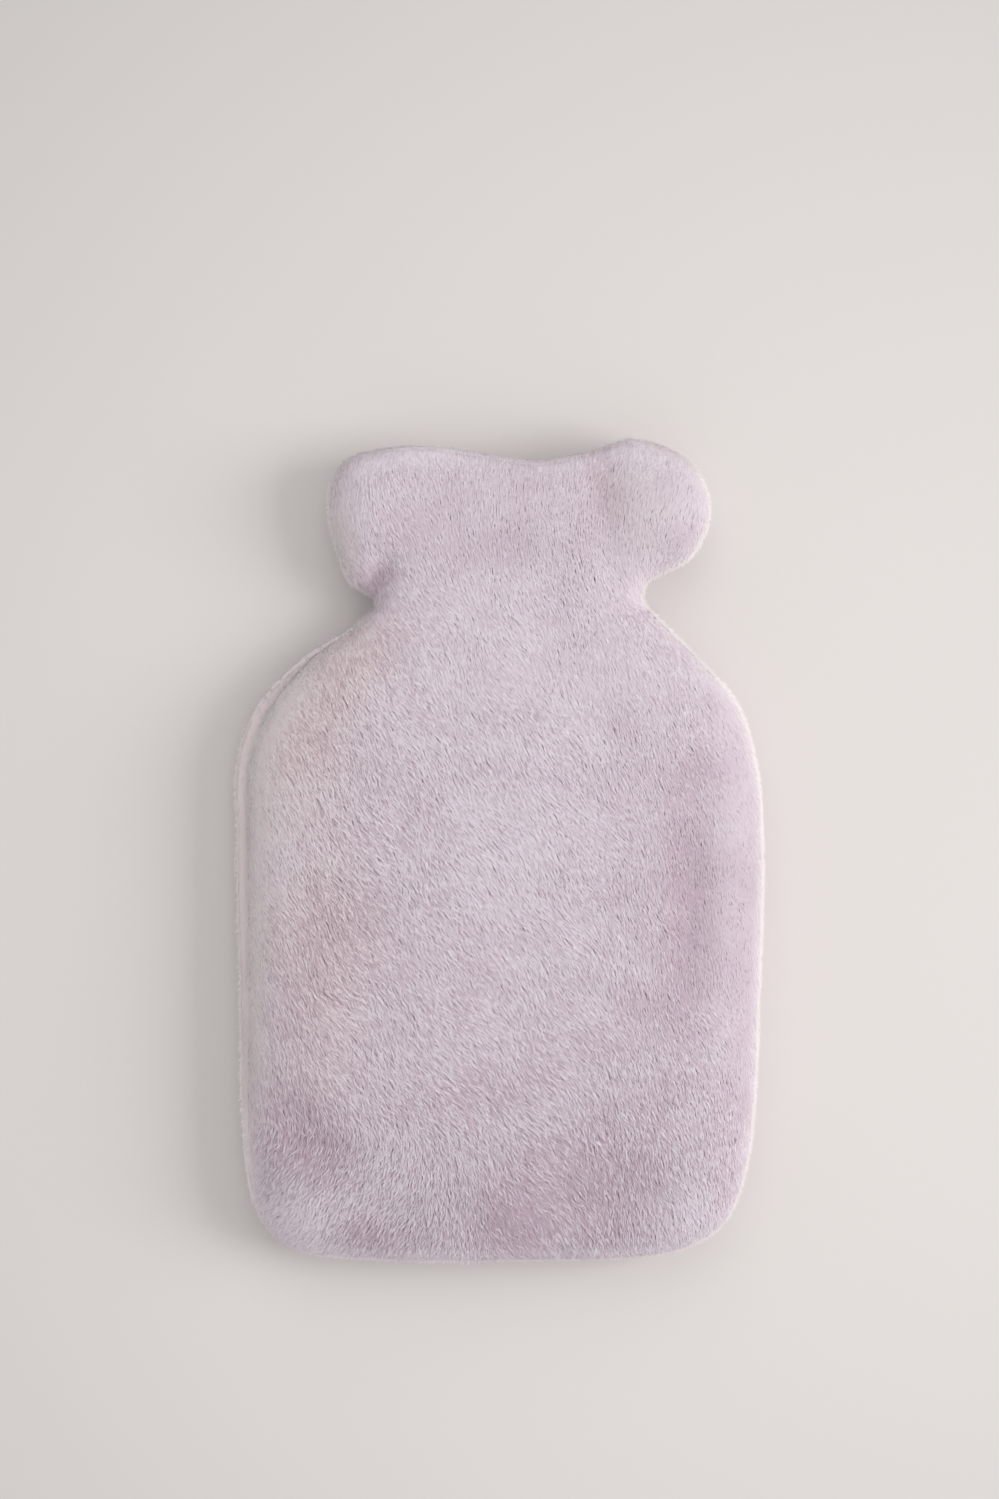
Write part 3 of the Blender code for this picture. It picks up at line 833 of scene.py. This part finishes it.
def tufts_of(roots, pile, rng):
    """The tufts that grow from the roots: their points, normals, tone, greying, and paleness as pale strays
    and as painted rim light.

    A tuft's five points are two at the root, two halfway and one at the tip.  It
    runs along its heading, follows the surface below it and leans towards the
    middle of its lock.  Its height above the cloth is depth * (1 - (1 - along)^3).
    One that heads up a slope sinks to the cloth instead, by depth * (1 - along).  A
    stray on an upright rim rises by depth * along, and lies level across its length.
    """
    place, normal = roots["place"], roots["normal"]
    count = len(place)
    lock_middle, lock = nearest_lock(place, LOCK_SIZE, LOCK_SEED)
    lock_luck = hashed(lock, LOCK_SEED + 3)[:, None] - 0.5
    lock_turn = hashed(lock, LOCK_SEED + 4)[:, None] - 0.5
    # tone takes in the patches, with their painted shade and painted light
    tone, greying, calm = (
        bells(place[:, 0], place[:, 1], PATCH_COLUMNS, pile["patches"], name)[:, None]
        for name in ("tone", "greying", "calm")
    )
    lively = 1 - np.clip(calm, *CALM_LIMITS)
    level = np.clip(normal[:, 2:] * pile["faces"], 0.0, 1.0)
    steep = 1 - level

    wander = drifting(place, WANDER_LENGTH, WANDER_SEED)[:, None] * WANDER
    wander += (lock_turn * LOCK_WANDER + rng.normal(0.0, TUFT_WANDER, (count, 1))) * lively
    heading = headings_of(place, normal, pile["faces"], wander[:, 0])
    across = np.cross(heading, normal)

    reach = pile["reach"] * rng.uniform(*REACH_SPREAD, (count, 1))
    streak = streak_at(place + heading * reach, heading, across * STREAK_GAP)
    depth = EDGE_PILE + (pile["depth"] - EDGE_PILE) * level**2
    depth = depth * (1 - DEPTH_DRIFT * drifting(place, DEPTH_LENGTH, DEPTH_SEED))[:, None]
    depth = depth * (1 - TUFT_LIFT * rng.random((count, 1)) * lively)
    depth = depth * (1 + LOCK_LIFT * (lock_luck * lively))
    depth = depth * (1 + STREAK_LIFT * (streak * lively))
    width = pile["width"] * rng.uniform(*WIDTH_SPREAD, (count, 1))
    width = width * (1 + CALM_WIDTH - CALM_WIDTH * lively)

    stray = rng.random((count, 1)) < STRAYS + (RIM_STRAYS - STRAYS) * steep**2
    fluff = stray * steep
    stand_out = steep * rng.uniform(*FLUFF_DEPTH, (count, 1))
    depth = np.where(stray, depth * STRAY_DEPTH + stand_out, depth)
    reach = np.where(stray, reach * (1 - FLUFF_REACH * steep), reach)
    width = np.where(stray, width * (STRAY_WIDTH - FLUFF_WIDTH * fluff), width)
    upward = np.where(stray, 0.0, np.clip(heading[:, 2:], 0.0, 1.0))

    turn = turn_along(roots["corner"], roots["bent"], heading)
    sink = dot(turn, heading)
    to_middle = lock_middle - place
    to_middle = to_middle - normal * dot(to_middle, normal)
    roll = rng.normal(0.0, TUFT_ROLL, (count, 1)) * lively
    tilt = across * (LOCK_LEAN * lock_turn + rng.normal(0.0, TUFT_LEAN, (count, 1))) * lively
    tilt += heading * (LEAN + LOCK_LEAN * lock_luck) + (LOFT * level + FLUFF_LOFT * fluff) * UP
    stations, facing = [], []
    for along in STATIONS:
        step = reach * along
        above = unit(normal + turn * step)
        bent_over = (1 - upward) * (1 - (1 - along) ** 3) + upward * (1 - along)
        rise = depth * (bent_over * (1 - fluff) + along * fluff)
        path = place + heading * step - normal * sink * step**2 / 2 + above * rise
        stations.append(path + to_middle * LOCK_PULL * along)
        facing.append(unit(above + tilt))

    root, middle, tip = stations
    side = across * np.cos(roll) + normal * np.sin(roll)
    half = np.where(fluff > FLUFF_FROM, unit(np.cross(tip - root, UP)), side) * width / 2
    wide = half * MIDDLE_WIDTH
    points = np.stack([root - half, root + half, middle - wide, middle + wide, tip], axis=1)
    normals = np.stack([facing[station] for station in POINT_STATIONS], axis=1)
    tuft_tone = rng.normal(0.0, TUFT_TONE, (count, 1))
    tone += (LOCK_TONE * lock_luck + STREAK_TONE * streak + tuft_tone) * lively
    # painted rim light on steep tufts and a painted halo on the strays there; strays on level cloth are
    # paler in their own colour
    rim = smooth_step((steep - RIM_LIGHT_FROM) / (1 - RIM_LIGHT_FROM))
    pale_strays_and_rim_light = np.where(stray, STRAY_PALENESS + (PAINTED_FLUFF_HALO - STRAY_PALENESS) * rim, PAINTED_RIM_LIGHT * rim)
    return points, normals, tone[:, 0], np.clip(greying, 0.0, 1.0)[:, 0], pale_strays_and_rim_light[:, 0]


# ---- meshes ----


def add_mesh(name, points, loops, starts, material):
    """A mesh object from points in millimetres and its faces' corners, shaded smooth."""
    mesh = bpy.data.meshes.new(name)
    mesh.vertices.add(len(points))
    mesh.vertices.foreach_set("co", (points * MM).astype(np.float32).ravel())
    mesh.loops.add(len(loops))
    mesh.loops.foreach_set("vertex_index", loops.astype(np.int32))
    mesh.polygons.add(len(starts))
    mesh.polygons.foreach_set("loop_start", starts.astype(np.int32))
    mesh.update(calc_edges=True)
    mesh.shade_smooth()
    mesh.materials.append(material)
    piece = bpy.data.objects.new(name, mesh)
    bpy.context.scene.collection.objects.link(piece)
    return piece


def add_cloth(name, upper, lower, shift, material):
    """A panel's cloth: its two sides as one closed skin, joined along their common edge."""
    (top, top_quads), (bottom, bottom_quads) = upper, lower
    edge = 2 * (CELLS_ACROSS + CELLS_ALONG)
    number = np.arange(len(bottom)) + len(top) - edge
    number[:edge] = np.arange(edge)
    quads = np.concatenate([top_quads, number[bottom_quads][:, ::-1]])
    points = np.concatenate([top, bottom[edge:]]) + shift
    return add_mesh(name, points, quads.ravel(), np.arange(len(quads)) * 4, material)


def add_piles(names, tufts, shift, material):
    """A panel's tufts in as many pieces as there are names, in order from hem to mouth."""
    points, *carried = tufts
    points = points + shift
    points[..., 2] = np.maximum(points[..., 2], FLOOR_CLEARANCE)
    order = np.argsort(points[:, 0, 1])
    return [
        add_pile(name, points[chosen], *(amounts[chosen] for amounts in carried), material)
        for name, chosen in zip(names, np.array_split(order, len(names)))
    ]


def add_pile(name, points, normals, tone, greying, pale_strays_and_rim_light, material):
    """Tufts as one mesh: a quad from root to middle and a triangle from there to the tip.

    Each tuft has its own cell in a square UV map, root down and tip up, and its
    points carry how far along the tuft they are and its tone, greying and paleness,
    the last both of pale strays and of painted rim light.
    """
    count, size = len(points), len(POINT_STATIONS)
    number = np.arange(count)[:, None]
    loops = (number * size + np.array(TUFT_FACES)).ravel()
    starts = (number * len(TUFT_FACES) + np.array(FACE_STARTS)).ravel()
    pile = add_mesh(name, points.reshape(-1, 3), loops, starts, material)
    mesh = pile.data
    mesh.normals_split_custom_set_from_vertices(normals.reshape(-1, 3))

    carried = {"along": np.tile([STATIONS[station] for station in POINT_STATIONS], count)}
    carried |= {"tone": tone.repeat(size), "greying": greying.repeat(size), "pale_strays_and_rim_light": pale_strays_and_rim_light.repeat(size)}
    for label, amounts in carried.items():
        values = amounts.astype(np.float32)
        mesh.attributes.new(label, "FLOAT", "POINT").data.foreach_set("value", values)

    columns = int(np.ceil(np.sqrt(count)))
    cell = np.stack([number % columns, number // columns], axis=2)
    uv = ((cell + np.array(TUFT_CELL)) / columns).reshape(-1, 2)
    layer = mesh.uv_layers.new(name="OFBake")
    layer.uv.foreach_set("vector", uv[loops].astype(np.float32).ravel())
    return pile


# ---- materials ----


def set_inputs(tree, sockets, values):
    """Gives each input its value, or links it to the output socket that feeds it."""
    for key, value in values.items():
        if isinstance(value, bpy.types.NodeSocket):
            tree.links.new(value, sockets[key])
        else:
            sockets[key].default_value = value


def node(tree, kind, settings=None, **inputs):
    """Adds a node.  Its inputs go by their names, or by their numbers as _0, _1 and so on."""
    added = tree.nodes.new(kind)
    for name, value in (settings or {}).items():
        setattr(added, name, value)
    keys = (int(name[1:]) if name[1:].isdigit() else name.replace("_", " ") for name in inputs)
    set_inputs(tree, added.inputs, dict(zip(keys, inputs.values())))
    return added


def math(tree, operation, a, b=0.0):
    """A sum, product or the like of two values."""
    return node(tree, "ShaderNodeMath", {"operation": operation}, _0=a, _1=b).outputs[0]


def arithmetic(tree):
    """Short names for the sum, the difference, the product and the power of two values."""
    return (partial(math, tree, kind) for kind in ("ADD", "SUBTRACT", "MULTIPLY", "POWER"))


def mixed(tree, factor, a, b):
    """A blend from colour a to colour b."""
    return node(tree, "ShaderNodeMix", {"data_type": "RGBA"}, _0=factor, _6=a, _7=b).outputs[2]


def scaled(tree, colour, amount):
    """The colour with each of its channels multiplied by one amount."""
    return node(tree, "ShaderNodeVectorMath", {"operation": "SCALE"}, _0=colour, Scale=amount).outputs[0]


def new_group(name, inputs, outputs):
    """An empty shader node group with named inputs (with their defaults) and outputs."""
    group = bpy.data.node_groups.new(name, "ShaderNodeTree")
    for label, value in inputs.items():
        kind = "NodeSocketColor" if isinstance(value, tuple) else "NodeSocketFloat"
        group.interface.new_socket(label, in_out="INPUT", socket_type=kind).default_value = value
    for label, kind in outputs.items():
        group.interface.new_socket(label, in_out="OUTPUT", socket_type=kind)
    return group, group.nodes.new("NodeGroupInput").outputs, group.nodes.new("NodeGroupOutput").inputs


def plush_group():
    """Dyed pile: each tuft's colour lies between a deep and a pale one, by its tone.

    A slow mottle, where the nap has been stroked, is added to the tone, which also
    carries the painted shade and light of the patches.  The colour is multiplied by
    a greyer tint as far as the tuft is greyed, and then mixed with a paler colour as
    far as the tuft is a pale stray or carries painted rim light, which stands in for
    the light that fur scatters at its edges.  The tufts are a little darker towards
    their roots, and smoother towards their tips.
    """
    outputs = {"Colour": "NodeSocketColor", "Roughness": "NodeSocketFloat"}
    group, given, result = new_group("plush", PLUSH, outputs)
    plus, minus, times, power = arithmetic(group)
    along, tone, greying, pale_strays_and_rim_light = (
        node(group, "ShaderNodeAttribute", {"attribute_name": name}).outputs["Fac"]
        for name in ("along", "tone", "greying", "pale_strays_and_rim_light")
    )
    where = node(group, "ShaderNodeTexCoord").outputs["Object"]
    stroked = node(group, "ShaderNodeTexNoise", Vector=where, **MOTTLE_NOISE).outputs[0]
    mottle = times(minus(stroked, NOISE_AVERAGE), given["Mottle"])
    pale = math(group, "MINIMUM", plus(plus(tone, mottle), AVERAGE_TONE), 1.0)
    dyed = mixed(group, pale, given["Deep Colour"], given["Pale Colour"])
    tint = mixed(group, greying, WHITE, given["Greying Tint"])
    greyed = node(group, "ShaderNodeVectorMath", {"operation": "MULTIPLY"}, _0=dyed, _1=tint).outputs[0]
    # painted rim light, and the strays' own paleness
    with_pale_strays_and_rim_light = mixed(group, pale_strays_and_rim_light, greyed, given["Pale Stray And Rim Light Colour"])
    up = power(along, ROOT_CURVE)
    shade = plus(given["Root Shade"], times(up, minus(1.0, given["Root Shade"])))
    roughness = minus(PLUSH_ROUGHNESS, times(up, TIP_SMOOTHNESS))
    set_inputs(group, result, {"Colour": scaled(group, with_pale_strays_and_rim_light, shade), "Roughness": roughness})
    return group


def knit_group():
    """The knitted ground that the pile is looped into: ribs of small slanting stitches.

    A wave along the rows and one across the wales give the stitches, and their
    product is the height of the yarn.  The colour goes from the gap colour, a painted
    shade between the stitches, to the yarn's colour as the yarn rises.
    """
    outputs = {"Colour": "NodeSocketColor", "Height": "NodeSocketFloat"}
    group, given, result = new_group("knit", FRONT_GROUND, outputs)
    plus, _, times, _ = arithmetic(group)
    where = node(group, "ShaderNodeTexCoord").outputs["Object"]
    axis = node(group, "ShaderNodeSeparateXYZ", Vector=where)
    wale = times(axis.outputs[0], given["Wales"])
    rib = math(group, "ABSOLUTE", math(group, "SINE", times(wale, np.pi)))
    course = times(axis.outputs[1], times(given["Wales"], COURSES_PER_WALE))
    row = math(group, "SINE", times(plus(course, times(rib, STITCH_SLANT)), 2 * np.pi))
    stitch = times(plus(times(row, ROW_DEPTH), 1 - ROW_DEPTH), rib)
    fuzz = node(group, "ShaderNodeTexNoise", Vector=where, **FUZZ_NOISE).outputs[0]
    # the gap colour is painted shade between the stitches
    colour = mixed(group, stitch, given["Painted Gap Shade"], given["Yarn Colour"])
    height = plus(stitch, times(fuzz, FUZZ_HEIGHT))
    set_inputs(group, result, {"Colour": colour, "Height": height})
    return group


def new_material(name):
    """A material with its node tree, and the shader in it."""
    material = bpy.data.materials.new(name)
    material.use_nodes = True
    return material, material.node_tree, material.node_tree.nodes["Principled BSDF"]


def placed_group(tree, group, values):
    """The group as a node of a material, with the material's own values."""
    placed = tree.nodes.new("ShaderNodeGroup")
    placed.node_tree = group
    set_inputs(tree, placed.inputs, values)
    return placed.outputs


def pile_material(name, group, colours, light_through):
    """The finish of one panel's pile."""
    material, tree, shader = new_material(name)
    plush = placed_group(tree, group, colours)
    looks = {"Base Color": plush["Colour"], "Roughness": plush["Roughness"], **PLUSH_FINISH}
    set_inputs(tree, shader.inputs, looks)
    through = node(tree, "ShaderNodeBsdfTranslucent", Color=plush["Colour"]).outputs[0]
    both = node(tree, "ShaderNodeMixShader", _0=light_through, _1=shader.outputs[0], _2=through)
    tree.links.new(both.outputs[0], tree.nodes["Material Output"].inputs["Surface"])
    return material


def cloth_material(name, group, ground):
    """The finish of one panel's knitted ground."""
    material, tree, shader = new_material(name)
    knit = placed_group(tree, group, ground)
    bump = node(tree, "ShaderNodeBump", Height=knit["Height"], **KNIT_BUMP).outputs[0]
    set_inputs(tree, shader.inputs, {"Base Color": knit["Colour"], "Normal": bump, **KNIT_FINISH})
    return material


def floor_material():
    """Pale warm paint with a barely visible unevenness, and painted shade that deepens away from the middle
    as the room's light falls off.

    It loses FLOOR_SHADE_FALL * distance^2 of its paleness, and no more beyond FLOOR_SHADE_REACH.
    """
    material, tree, shader = new_material("floor_paint")
    _, minus, times, power = arithmetic(tree)
    where = node(tree, "ShaderNodeTexCoord").outputs["Object"]
    cloud = node(tree, "ShaderNodeTexNoise", Vector=where, **FLOOR_CLOUD).outputs[0]
    away = node(tree, "ShaderNodeVectorMath", {"operation": "DISTANCE"}, _0=where, _1=FLOOR_SHADE_MIDDLE)
    gap = math(tree, "MINIMUM", away.outputs["Value"], FLOOR_SHADE_REACH)
    # painted shade, deeper away from the middle
    painted_shade = times(power(gap, 2.0), FLOOR_SHADE_FALL)
    paint = scaled(tree, mixed(tree, cloud, FLOOR_DARK, FLOOR_PALE), minus(1.0, painted_shade))
    set_inputs(tree, shader.inputs, {"Base Color": paint, **FLOOR_FINISH})
    return material


# ---- the panels ----


def front_cloth_outer(x, y, distance, opening, strip):
    """The front cloth's outer side, under the pile: the fur side with a lower crown."""
    pile = PILE_DEPTH * rounded(distance, eased_along(y, ROUNDING))
    return front_outer(x, y, distance, opening, strip) - pile


def back_cloth_inner(x, y, distance, opening, strip):
    """The back cloth's pocket side.

    Its edge curls down along the strip and at the mouth, it is level over the seam,
    and from there it falls to the pocket's floor.
    """
    seam = seam_height(x, y) - SEAM_GAP / 2 - MOUTH_BACK_DROP * opening
    beside = strip_beside(x, y)
    roll = np.maximum(LIP_ROLL * opening, strip) * (1 - rounded(distance, LIP_WIDTH + STRIP_ROUND * beside))
    floor = np.minimum(BACK_THICKNESS, seam)
    return seam - roll - (seam - floor) * rounded(distance - SEAM_WIDTH - beside, BACK_POCKET_ROUND)


def back_cloth_outer(x, y, distance, opening, strip):
    """The back cloth's outer side, above the pressed pile."""
    pile = PRESSED_DEPTH * rounded(distance, BACK_ROUND)
    return back_outer(x, y, distance, opening, strip) + pile


def front_panel(shift, plush, knit):
    """The domed front: its cloth, and its pile in four pieces from hem to mouth."""
    outline = panel_outline(shows_strip=False)
    edge = outline + inward(outline) * EDGE_PILE
    outer = side_of_panel(edge, OUTER_RINGS, front_cloth_outer)
    inner = side_of_panel(edge, INNER_RINGS, front_inner)
    ground = cloth_material("front_ground", knit, FRONT_GROUND)
    cloth = add_cloth("front_cloth", outer, inner, shift, ground)
    rng = np.random.default_rng(FRONT_SEED)

    def wanted(place, gap):
        return np.where(gap < EDGE_ZONE, EDGE_DENSITY, 1.0)

    roots = roots_on(outer, edge, FRONT_TUFTS, wanted, rng)
    material = pile_material("front_plush", plush, PLUSH, LIGHT_THROUGH)
    names = ("front_pile_hem", "front_pile_body", "front_pile_shoulders", "front_pile_collar")
    return cloth, add_piles(names, tufts_of(roots, FRONT_PILE, rng), shift, material)


def back_panel(shift, plush, knit):
    """The flat back: its cloth, and its pile, dense round the edge and pressed below."""
    outline = panel_outline(shows_strip=True)
    on_strip = strip_beside(*outline.T) > STRIP_FROM
    edge = outline + inward(outline) * (EDGE_PILE + np.where(on_strip, 0.0, BACK_TUCK))[:, None]
    inner = side_of_panel(edge, BACK_INNER_RINGS, back_cloth_inner)
    outer, quads = side_of_panel(edge, OUTER_RINGS, back_cloth_outer)
    ground = cloth_material("back_ground", knit, BACK_GROUND)
    cloth = add_cloth("back_cloth", inner, (outer, quads), shift, ground)
    rng = np.random.default_rng(BACK_SEED)

    def wanted_below(place, gap):
        return np.where(gap < UNDERSIDE_ZONE, 1.0, UNDERSIDE_DENSITY)

    def wanted_on_strip(place, gap):
        x, y = place[:, 0], place[:, 1]
        return 1.0 * (gap < strip_beside(x, y) + STRIP_MARGIN) * ((x < 0.0) | (y > MOUTH_FROM))

    below = roots_on((outer, quads[:, ::-1]), edge, BACK_TUFTS, wanted_below, rng)
    above = roots_on(inner, edge, STRIP_TUFTS, wanted_on_strip, rng)
    tufts = [tufts_of(below, BACK_PILE, rng), tufts_of(above, STRIP_PILE, rng)]
    tufts = [np.concatenate(pair) for pair in zip(*tufts)]
    material = pile_material("back_plush", plush, BACK_PLUSH, PRESSED_LIGHT_THROUGH)
    return cloth, add_piles(("back_pile",), tufts, shift, material)


def lay_in_frame():
    """How far the tables' own frame is moved, so that the cover is centred as its solids are."""
    low, high = (np.array(corner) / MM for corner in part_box("back_panel"))
    outline = panel_outline(shows_strip=True)
    middle = (outline.min(axis=0) + outline.max(axis=0)) / 2
    return np.append((low + high)[:2] / 2 - middle, 0.0)


def declare(panel, slot, cloth, piles, flat, area, rests_on):
    """One panel's cloth and pile, attached to the part's only body in place of its solid, which is hidden.
    """
    for piece in (cloth, *piles):
        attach(piece, "root")
        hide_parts(panel)


# ---- floor, light and camera ----


def add_floor():
    """A wide pale floor at Z = 0, which is not part of the cover."""
    corners = np.array([[-1, -1, 0], [1, -1, 0], [1, 1, 0], [-1, 1, 0]]) * FLOOR_SIZE / 2 / MM
    floor = add_mesh("floor", corners, np.arange(4), np.array([0]), floor_material())


def add_light(name, azimuth, elevation, distance, size, power, colour):
    """A square soft light that looks at the cover's middle; azimuth 0 is +X, 90 is +Y."""
    lamp = bpy.data.lights.new(name, "AREA")
    lamp.shape = "SQUARE"
    lamp.size = size
    lamp.energy = power
    lamp.color = colour
    light = bpy.data.objects.new(name, lamp)
    around, up = np.radians(azimuth), np.radians(elevation)
    away = Vector((np.cos(around) * np.cos(up), np.sin(around) * np.cos(up), np.sin(up)))
    light.location = away * distance
    light.rotation_euler = away.to_track_quat("Z", "Y").to_euler()
    bpy.context.scene.collection.objects.link(light)


def light_the_studio():
    """One large soft light from the right, a weak one from the top and an even pale room."""
    add_light("window", **KEY_LIGHT)
    add_light("far_window", **FILL_LIGHT)
    world = bpy.data.worlds.new("room")
    world.use_nodes = True
    room = world.node_tree.nodes["Background"]
    set_inputs(world.node_tree, room.inputs, {"Color": ROOM_COLOUR, "Strength": ROOM_STRENGTH})
    bpy.context.scene.world = world


def add_camera():
    """Straight above the cover; the picture's long side spans VIEW_LENGTH at the cover's edge."""
    lens = bpy.data.cameras.new("camera")
    height = CAMERA_HEIGHT - SEAM_HEIGHT * MM
    lens.sensor_width = SENSOR
    lens.lens = SENSOR * height / VIEW_LENGTH
    camera = bpy.data.objects.new("camera", lens)
    camera.location = (*VIEW_MIDDLE, CAMERA_HEIGHT)
    bpy.context.scene.collection.objects.link(camera)
    bpy.context.scene.camera = camera


def main():
    """The camera, the lights and the floor, and then the two panels of the cover."""
    add_camera()
    light_the_studio()
    add_floor()
    shift, plush, knit = lay_in_frame(), plush_group(), knit_group()
    declare("back_panel", "back_fur", *back_panel(shift, plush, knit), BACK_FLAT, BACK_AREA, ["floor"])
    declare(
        "front_panel", "front_fur", *front_panel(shift, plush, knit), FRONT_FLAT, FRONT_AREA, ["back_cloth"]
    )
    bpy.context.scene.view_settings.view_transform = "Standard"


main()
